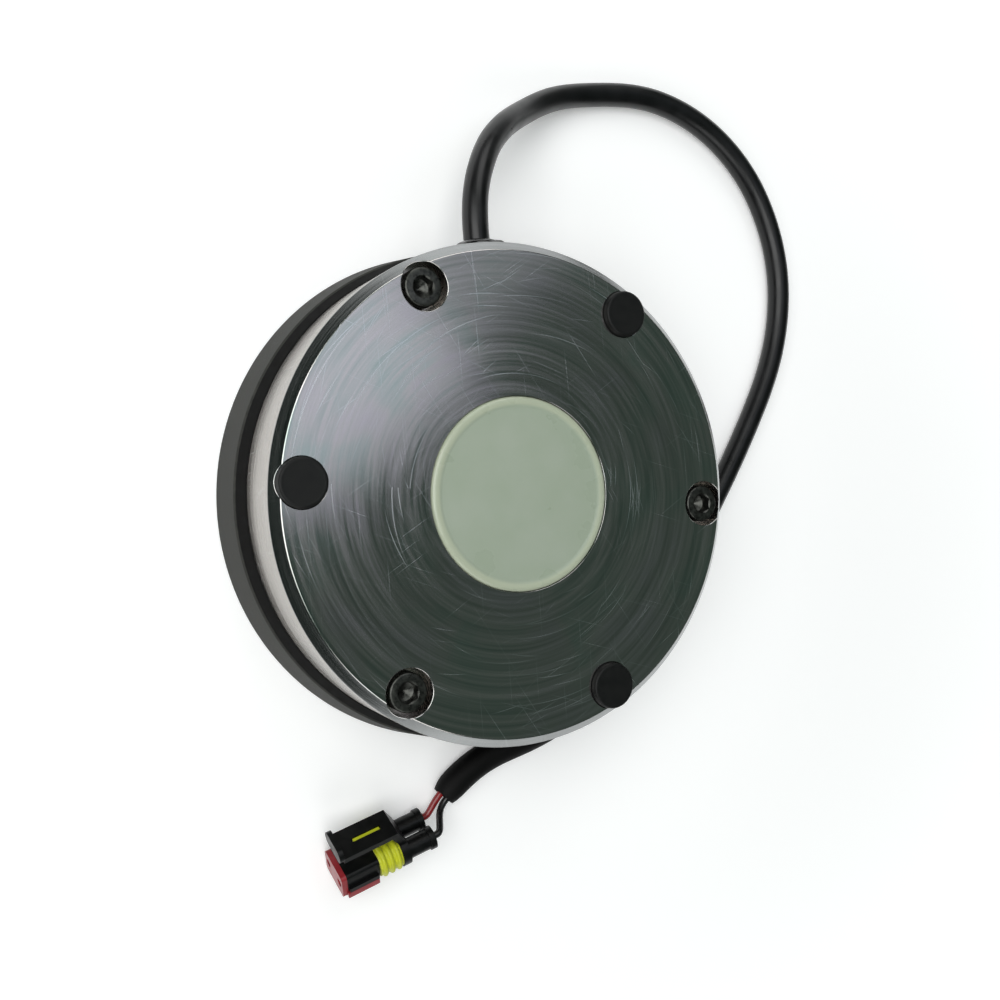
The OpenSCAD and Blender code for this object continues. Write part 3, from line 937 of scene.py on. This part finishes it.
@dataclass(frozen=True)
class Lead:
    """The jacketed lead, its shrunk sleeve and its two cores."""

    exit_height: float
    radius: float = 3.5
    sleeve_radius: float = 4.2
    # the route's points that the sleeve covers, and the stations between two of them
    sleeve_points: int = 6
    sleeve_steps: int = 5
    sleeve_play: float = 0.06
    # how much thinner the sleeve is at its two ends, and over how many stations
    tail_taper: tuple[float, int] = (0.5, 4)
    mouth_taper: tuple[float, int] = (0.9, 6)
    mouth_radius: float = 2.7
    mouth_depth: float = 3.5
    # how far the jacket ends behind the sleeve's mouth
    stripped: float = 2.5
    core_radius: float = 1.0
    core_offset: float = 1.25
    # a core's bow, as a share of its free length, and how much of it is left at the connector
    bow: float = 0.34
    bow_in: float = 0.4
    # where a core runs in the connector's tube, from before its mouth to its end
    tube: tuple[float, ...] = (-1.2, 1.5, 4.0, 7.5)

    def route(self) -> list[Vector]:
        """Returns the lead's centreline in mm, from inside the housing to the sleeve's mouth."""
        fall = (
            (-7, 49, 1), (-8, 56, 1), (-9, 63, 1), (-10.5, 72.5, 1), (-10, 81.5, 0.96), (-7.5, 89.5, 0.88),
            (-4, 96.5, 0.76), (1.5, 103, 0.61), (6.5, 107.5, 0.45), (13.5, 113, 0.27), (20.5, 118, 0.16),
            (28.5, 122, 0.06),
        )
        loop = (
            (38, 125), (49, 127.5), (60, 128.5), (71, 127), (81.5, 123.5), (91, 118), (99.5, 110.5),
            (106, 101.5), (111, 91), (114, 79.5), (114.5, 67.5), (113, 55.5), (109.5, 43.5), (104.5, 32),
            (99, 20.5), (93, 9), (86.5, -2.5), (80, -14), (73.5, -25), (66, -36), (57.5, -46.5), (48, -56),
        )
        sleeved = ((36.5, -64.5), (24, -70.5), (13, -73.5), (5.5, -77.5), (-0.5, -82.5), (-3, -85.5))
        drop = self.exit_height - self.radius
        return ([Vector((x, y, self.radius + share * drop)) for x, y, share in fall]
                + [Vector((x, y, self.radius)) for x, y in loop]
                + [Vector((x, y, self.sleeve_radius)) for x, y in sleeved])

    def stub(self) -> Vector:
        """Returns the end of the jacket, just inside the sleeve."""
        route = self.route()
        return route[-1] - self.stripped * (route[-1] - route[-2]).normalized()

    def jacket(self) -> Piece:
        """Draws the lead as one smooth curve, the cubic spline that its route's points steer."""
        points = self.route()[:-1] + [self.stub()]
        curve = bpy.data.curves.new("lead", "CURVE")
        curve.dimensions, curve.bevel_depth, curve.bevel_resolution = "3D", self.radius * MM, 10
        curve.resolution_u, curve.render_resolution_u, curve.use_fill_caps = 10, 10, True
        spline = curve.splines.new("BEZIER")
        spline.bezier_points.add(len(points) - 1)
        line = [2 * points[0] - points[1], *points, 2 * points[-1] - points[-2]]
        for knot, before, point, after in zip(spline.bezier_points, line, line[1:], line[2:]):
            knot.handle_left_type = knot.handle_right_type = "FREE"
            knot.co = (before + 4 * point + after) * MM / 6
            knot.handle_left, knot.handle_right = (2 * point + before) * MM / 3, (2 * point + after) * MM / 3
        curve.materials.append(JACKET.material())
        obj = bpy.data.objects.new("lead", curve)
        bpy.context.scene.collection.objects.link(obj)
        return mounted(obj, "cable")

    def sleeve(self) -> Piece:
        """Shrinks the sleeve over the lead's end, with its mouth open round the cores."""
        path = smooth(self.route()[-self.sleeve_points:], self.sleeve_steps)
        last = len(path) - 1
        outer = [self.sleeve_radius] * len(path)
        for (thinner, stations), numbers in (
            (self.tail_taper, range(last + 1)), (self.mouth_taper, range(last, -1, -1))
        ):
            for station, number in enumerate(numbers):
                outer[number] -= thinner * max(0, 1 - station / stations) ** 2
        ahead = (path[-1] - path[-2]).normalized()
        mouth = [path[-1] - self.mouth_depth * ahead, path[-1] + 2 * ahead]
        covered = path[:-self.sleeve_steps]
        shape = cut(swept(path, outer, 32), swept(mouth, [self.mouth_radius] * 2, 32))
        shape = cut(shape, swept(covered, [self.radius + self.sleeve_play] * len(covered), 32))
        return piece(shape, "shrunk_sleeve", SLEEVE, "heat_shrink")

    def cores(self, plug: Plug) -> list[Piece]:
        """Leads the two cores from the sleeve into the connector's tubes.

        Args:
            plug: the connector that they enter.

        Returns:
            The red and the black core.
        """
        route = self.route()
        mouth, ahead = route[-1], (route[-1] - route[-2]).normalized()
        side = ahead.cross(Vector((0, 0, 1))).normalized()
        made = []
        for way, name, finish, slot, node in (
            (1, "red_core", RED_PVC, "red_insulation", "red_wire"),
            (-1, "black_core", BLACK_PVC, "black_insulation", "black_wire"),
        ):
            row = -way * plug.pitch / 2
            start, inside = mouth + way * self.core_offset * side, [plug.point(x, row, 0) for x in self.tube]
            bow = self.bow * (inside[0] - start).length
            inward = (plug.point(1, row, 0) - plug.point(0, row, 0)).normalized()
            path = smooth([self.stub() + way * self.core_offset * side, start, start + bow * ahead,
                           inside[0] - self.bow_in * bow * inward, *inside], 6)
            made.append(piece(swept(path, [self.core_radius] * len(path), 20), name, finish, node))
        return made


@dataclass(frozen=True)
class Pot:
    """The turned steel pot of the magnet, with its holes and its way out for the lead."""

    radius: float = 65.0
    bottom: float = 17.0
    top: float = 40.5
    chamfer: float = 2.5
    bore: float = 22.0
    recess: float = 25.2
    recess_depth: float = 2.2
    # widths of the roundings: broken edges, fine edges, the face's edge and the recess's edge
    edge: float = 0.3
    fine_edge: float = 0.2
    face_edge: float = 0.22
    recess_edge: float = 0.15
    # the coil's pocket: its inner and outer radius and its depth
    pocket: tuple[float, float, float] = (34.0, 49.0, 15.0)
    hole_circle: float = 57.5
    counterbore: float = 6.15
    seat: float = 33.7
    screw_hole: float = 3.05
    through: float = 3.3
    # rounding of the holes' rims, and the degrees of its arc that get a point
    rim: float = 0.25
    rim_arc: tuple[float, ...] = (0, 22, 45, 68, 86)
    screw_degrees: tuple[int, ...] = (0, 120, 240)
    plug_degrees: tuple[int, ...] = (60, 180, 300)
    exit_radius: float = 5.05
    exit_height: float = 28.0
    exit_degrees: float = 98.13
    spring_circle: float = 28.0
    spring_bore: float = 3.5
    spring_depth: float = 13.0
    spring_degrees: tuple[int, ...] = (30, 90, 150, 210, 270, 330)

    def face(self, x: float, y: float) -> float:
        """Returns the height of the outer face or its chamfer at a place."""
        return self.top - max(0.0, math.hypot(x, y) - (self.radius - self.chamfer))

    def holes(self) -> Shape:
        """Makes the six stepped holes, each with a rounded edge that follows the face and the chamfer."""
        rim = [(self.counterbore + self.rim * (1 - math.cos(math.radians(angle))),
                self.top + self.rim * (math.sin(math.radians(angle)) - 1)) for angle in self.rim_arc]
        below, above = self.bottom - 1, self.top + 2
        sets = []
        for bore, degrees in ((self.screw_hole, self.screw_degrees), (self.through, self.plug_degrees)):
            hole = spun([(0, below), (bore, below), (bore, self.seat), (self.counterbore, self.seat), *rim,
                         (self.counterbore + self.rim, above), (0, above)], 64)
            sets.append(around(hole, self.hole_circle, degrees))
        shape = joined(sets)
        for vert in shape.verts:
            if self.top - 1 < vert.co.z < self.top + 1:
                vert.co.z += self.face(vert.co.x, vert.co.y) - self.top
        return shape

    def along_exit(self, shape: Shape) -> Shape:
        """Lays a shape that was turned round Z along the lead's exit."""
        lie = Matrix.Rotation(math.radians(self.exit_degrees), 4, "Z") @ Matrix.Rotation(math.pi / 2, 4, "Y")
        return placed(shape, Matrix.Translation((0, 0, self.exit_height)) @ lie)

    def build(self) -> None:
        """Turns the pot, drills it and gives its face, its wall and its chamfer their finishes."""
        inner, outer, deep = self.pocket
        ceiling, shoulder, floor = self.bottom + deep, self.top - self.chamfer, self.top - self.recess_depth
        shape = spun([
            (self.bore, self.bottom, self.edge), (inner, self.bottom, self.fine_edge), (inner, ceiling),
            (outer, ceiling), (outer, self.bottom, self.fine_edge), (self.radius, self.bottom, self.edge),
            (self.radius, shoulder, self.fine_edge), (self.radius - self.chamfer, self.top, self.face_edge),
            (self.recess, self.top, self.recess_edge), (self.recess, floor), (self.bore, floor),
        ])
        below, end = self.bottom - 1, self.bottom + self.spring_depth
        spring = spun([(0, below), (self.spring_bore, below), (self.spring_bore, end), (0, end)], 32)
        # the lead's hole runs from just inside the pocket's outer wall out past the pot's wall
        start, past = outer - 2, self.radius + 5
        lead = spun([(0, start), (self.exit_radius, start), (self.exit_radius, past), (0, past)], 64)
        springs = around(spring, self.spring_circle, self.spring_degrees)
        shape = cut(shape, joined([self.holes(), springs, self.along_exit(lead)]))
        obj = piece(shape, "magnet_pot", FACE_STEEL, "magnet_housing", sharp=20)
        obj.data.materials.append(WALL_STEEL.material())
        obj.data.materials.append(CHAMFER_STEEL.material())
        for face in obj.data.polygons:
            if face.center.z < shoulder * MM:
                face.material_index = 1
            elif (math.hypot(*face.center.xy) > (self.radius - self.chamfer + 0.1) * MM
                  and 0.3 < face.normal.z < 0.9):
                face.material_index = 2


@dataclass(frozen=True)
class Magnet:
    """The pot with its cap, plugs, screws, sealant, coil and springs."""

    pot: Pot
    air_gap: float = 0.4
    cap_radius: float = 25.1
    cap_proud: float = 0.45
    cap_play: float = 0.05
    skirt_wall: float = 1.4
    skirt_depth: float = 4.0
    # the cap's rim from its outer top corner to its dish: step inwards, step up, width of the rounding
    cap_rim: Profile = ((0, -0.8, 0.3), (-0.3, -0.3, 0.3), (-0.9, 0, 0.5), (-1.9, -0.02, 0.5),
                        (-2.7, -0.26, 0.5), (-4.2, -0.28, 0.6))
    cap_dish: float = 0.2
    # the plug's top edge over the pot's face, with a faint dish inside it
    plug_play: float = 0.05
    plug_collar: float = 0.3
    plug_top: Profile = ((5.95, 1.8, 0.5), (5.0, 1.8), (4.8, 1.76), (0, 1.78))
    screw_foot: float = 1.2
    shank: float = 3.0
    head: float = 5.0
    head_height: float = 6.0
    # the knurl: degrees from ridge to groove, the groove's share of the head's radius, and how far the
    # knurl stays from the head's seat and from its top
    knurl_degrees: float = 3.75
    knurl: float = 0.965
    knurl_from: float = 0.3
    knurl_to: float = 0.8
    # the socket: radius to its corners and depth, then the tip under it and the bevel of its mouth, each
    # with its lower and upper radius, its depth and the height of its middle over the floor or the top
    socket: float = 2.887
    socket_depth: float = 3.0
    tip: tuple[float, ...] = (0.2, 2.5, 1.3, -0.6)
    mouth: tuple[float, ...] = (2.5, 3.6, 0.9, 0.12)
    # the sealant: its bore and how deep it reaches into the wall, then its outline over the wall
    bead_bore: float = 3.4
    bead_root: float = 2.0
    bead: Profile = ((6.1, 0.5, 0.8), (5.5, 1.6, 0.7), (4.5, 2.3, 0.6), (3.55, 2.2))
    # its lumps: their share of its width and how many there are to a mm; and how far it is wiped out
    lump: float = 0.1
    lumps_per_mm: float = 0.45
    wiped: float = 1.4
    # a spring: radius of its wire and of its coil, turns, and how many of them lie flat at each end
    wire: float = 0.6
    coil: float = 2.4
    coil_turns: float = 4.4
    closed_turns: float = 0.6
    coil_points: int = 159

    def cap(self) -> None:
        """Turns the cap: a shallow dish with a wide soft rim and a skirt under it."""
        seat, skirt = self.pot.top - self.pot.recess_depth, self.pot.bore - self.cap_play
        foot, inside, top = seat - self.skirt_depth, skirt - self.skirt_wall, self.pot.top + self.cap_proud
        shape = spun([
            (0, seat), (inside, seat), (inside, foot), (skirt, foot, 0.3), (skirt, seat),
            (self.cap_radius, seat, 0.1),
            *((self.cap_radius + inwards, top + up, width) for inwards, up, width in self.cap_rim),
            (0, top - self.cap_dish),
        ], 192)
        piece(shape, "centre_disc", CAP_PLASTIC, "centre_cap", sharp=50)

    def plugs(self) -> None:
        """Turns the three plugs with their rounded edge."""
        pot, fit = self.pot, self.pot.counterbore - self.plug_play
        shape = spun([
            (0, pot.seat), (fit, pot.seat, 0.5), (fit, pot.top + self.plug_collar, 0.3),
            *((radius, pot.top + up, *width) for radius, up, *width in self.plug_top),
        ], 96)
        shape = around(shape, pot.hole_circle, pot.plug_degrees)
        piece(shape, "hole_plug_set", PLUG_PLASTIC, "hole_plugs")

    def screws(self) -> None:
        """Makes the three socket-head screws with knurled heads."""
        seat, top = self.pot.seat, self.pot.seat + self.head_height
        shape = spun([
            (0, self.screw_foot), (self.shank, self.screw_foot, 0.6), (self.shank, seat),
            (self.head, seat, 0.25), (self.head, top - 1.1), (self.head, top, 0.6), (0, top),
        ], 96)
        for vert in shape.verts:
            x, y, z = vert.co
            step = round(math.degrees(math.atan2(y, x)) / self.knurl_degrees)
            rim = math.hypot(x, y) > self.head - 0.05
            if rim and seat + self.knurl_from < z < top - self.knurl_to and step % 2:
                vert.co.x, vert.co.y = x * self.knurl, y * self.knurl
        floor = top - self.socket_depth
        # the hexagon is cut 1 mm past the top
        shape = cut(shape, drum(self.socket, self.socket, 4, floor + 2, 6))
        for (low, high, depth, rise), level in ((self.tip, floor), (self.mouth, top)):
            shape = cut(shape, drum(low, high, depth, level + rise))
        shape = around(shape, self.pot.hole_circle, self.pot.screw_degrees)
        piece(shape, "socket_screw_set", BLACK_OXIDE, "assembly_screws")

    def sealant(self) -> None:
        """Squeezes the bead of sealant round the lead where it leaves the wall."""
        wall = self.pot.radius
        root = wall - self.bead_root
        shape = spun([
            (self.bead_bore, root), (self.bead[0][0], root),
            *((radius, wall + up, *width) for radius, up, *width in self.bead),
        ], 96)
        for vert in shape.verts:
            lump = 1 + self.lump * noise.noise(vert.co * self.lumps_per_mm)
            # the outer side that looks one way along the wall is wiped out
            vert.co.y *= lump * (self.wiped if vert.co.y < -3.6 else 1.0)
        # the wall itself is taken off, with a hair's play
        inside = wall + 0.02
        shape = cut(self.pot.along_exit(shape), drum(inside, inside, 60, self.pot.exit_height, 256))
        piece(shape, "sealant_collar", SEALANT, "sealant_bead", sharp=60)

    def springs(self) -> None:
        """Coils the six springs; they shorten by the air gap as the coil pulls the armature."""
        low, high = self.pot.bottom - self.air_gap, self.pot.bottom + self.pot.spring_depth
        free, rising = high - low - 2 * self.wire, self.coil_turns - 2 * self.closed_turns
        path = []
        for number in range(self.coil_points):
            turns = self.coil_turns * number / (self.coil_points - 1)
            rise = min(1.0, max(0.0, (turns - self.closed_turns) / rising))
            angle = 2 * math.pi * turns
            path.append(Vector((self.coil * math.cos(angle), self.coil * math.sin(angle),
                                low + self.wire + rise * free)))
        spring = swept(path, [self.wire] * len(path), 12)
        shape = around(spring, self.pot.spring_circle, self.pot.spring_degrees)
        obj = piece(shape, "spring_set", SPRING_WIRE, "brake_springs")
        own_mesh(obj)

    def build(self) -> None:
        """Makes the pot and all that is pressed, screwed or poured into it."""
        self.pot.build()
        self.cap()
        self.plugs()
        self.screws()
        self.sealant()
        self.springs()
        for node, finish in (
            ("cable_grommet", RING_RUBBER), ("coil_bobbin", BOBBIN), ("coil_winding", WINDING),
            ("potting_ring", POTTING), ("spacer_sleeves", SLEEVE_STEEL),
        ):
            dress(node, finish)


@dataclass(frozen=True)
class Flange:
    """The cast flange and the dust ring on its rim."""

    pot: Pot
    base: float = 69.25
    rim: float = 67.5
    rim_height: float = 13.5
    wall: float = 4.0
    floor: float = 5.0
    bore: float = 20.0
    tap: float = 3.02
    tap_floor: float = 0.8
    # the dust ring: its gap inside the rim, then its lower lip and its top edge, each with its step
    # across, its distance from the ring's end and the width of its rounding
    ring_gap: float = 0.75
    ring_lip: tuple[float, float, float] = (0.4, 0.3, 0.12)
    ring_top: tuple[float, float, float] = (0.3, 0.2, 0.25)

    def casting(self) -> None:
        """Turns the casting with its soft edges and drills it."""
        inside = self.rim - self.wall
        shape = spun([
            (self.bore, 0, 0.3), (self.base, 0, 0.6), (self.rim, self.rim_height, 0.45),
            (inside, self.rim_height), (inside, self.floor, 0.8), (self.bore, self.floor, 0.3),
        ])
        above = self.floor + 1
        holes = []
        for radius, start, degrees in (
            (self.tap, self.tap_floor, self.pot.screw_degrees), (self.pot.through, -1, self.pot.plug_degrees)
        ):
            hole = spun([(0, start), (radius, start), (radius, above), (0, above)], 48)
            holes.append(around(hole, self.pot.hole_circle, degrees))
        obj = piece(cut(shape, joined(holes)), "cast_flange", CAST_IRON, "flange_plate")
        obj.data.materials.append(FACED_IRON.material())
        for face in obj.data.polygons:
            face.material_index = int(face.center.z < 0.05 * MM)

    def ring(self) -> None:
        """Turns the rubber ring between the casting and the pot."""
        inside, low, high, edge = self.rim - self.wall, self.rim_height, self.pot.bottom, self.pot.radius
        lip, lip_up, lip_width = self.ring_lip
        top, top_down, top_width = self.ring_top
        shape = spun([
            (inside, low), (self.rim - self.ring_gap, low), (self.rim - lip, low + lip_up, lip_width),
            (edge + top, high - top_down, top_width), (edge, high), (inside, high),
        ])
        piece(shape, "rubber_dust_ring", RING_RUBBER, "dust_ring", sharp=60)

    def build(self) -> None:
        """Makes the casting and the ring."""
        self.casting()
        self.ring()


@dataclass(frozen=True)
class Rotor:
    """The armature, the rotor with its linings and the splined hub, which keep their CAD shapes."""

    finishes: tuple[tuple[str, Finish], ...] = (
        ("armature_plate", GROUND_STEEL), ("rotor_carrier", CARRIER_STEEL), ("upper_lining", LINING),
        ("lower_lining", LINING), ("spline_hub", HUB_STEEL),
    )

    def build(self) -> None:
        """Dresses the moving pieces."""
        for node, finish in self.finishes:
            dress(node, finish)


def main() -> None:
    """Builds the scene in order: camera, lead, connector, magnet, flange, rotor, floor and light."""
    logging.basicConfig(level=logging.INFO, format="%(name)s: %(message)s")
    bpy.context.scene.view_settings.view_transform = "Standard"
    studio = Studio()
    studio.camera()
    pot, plug = Pot(), Plug()
    lead = Lead(pot.exit_height)
    jacket = lead.jacket()
    carried = [lead.sleeve(), *lead.cores(plug), *plug.build()]
    Magnet(pot).build()
    Flange(pot).build()
    Rotor().build()
    studio.floor()
    studio.light()


if __name__ == "__main__":
    main()
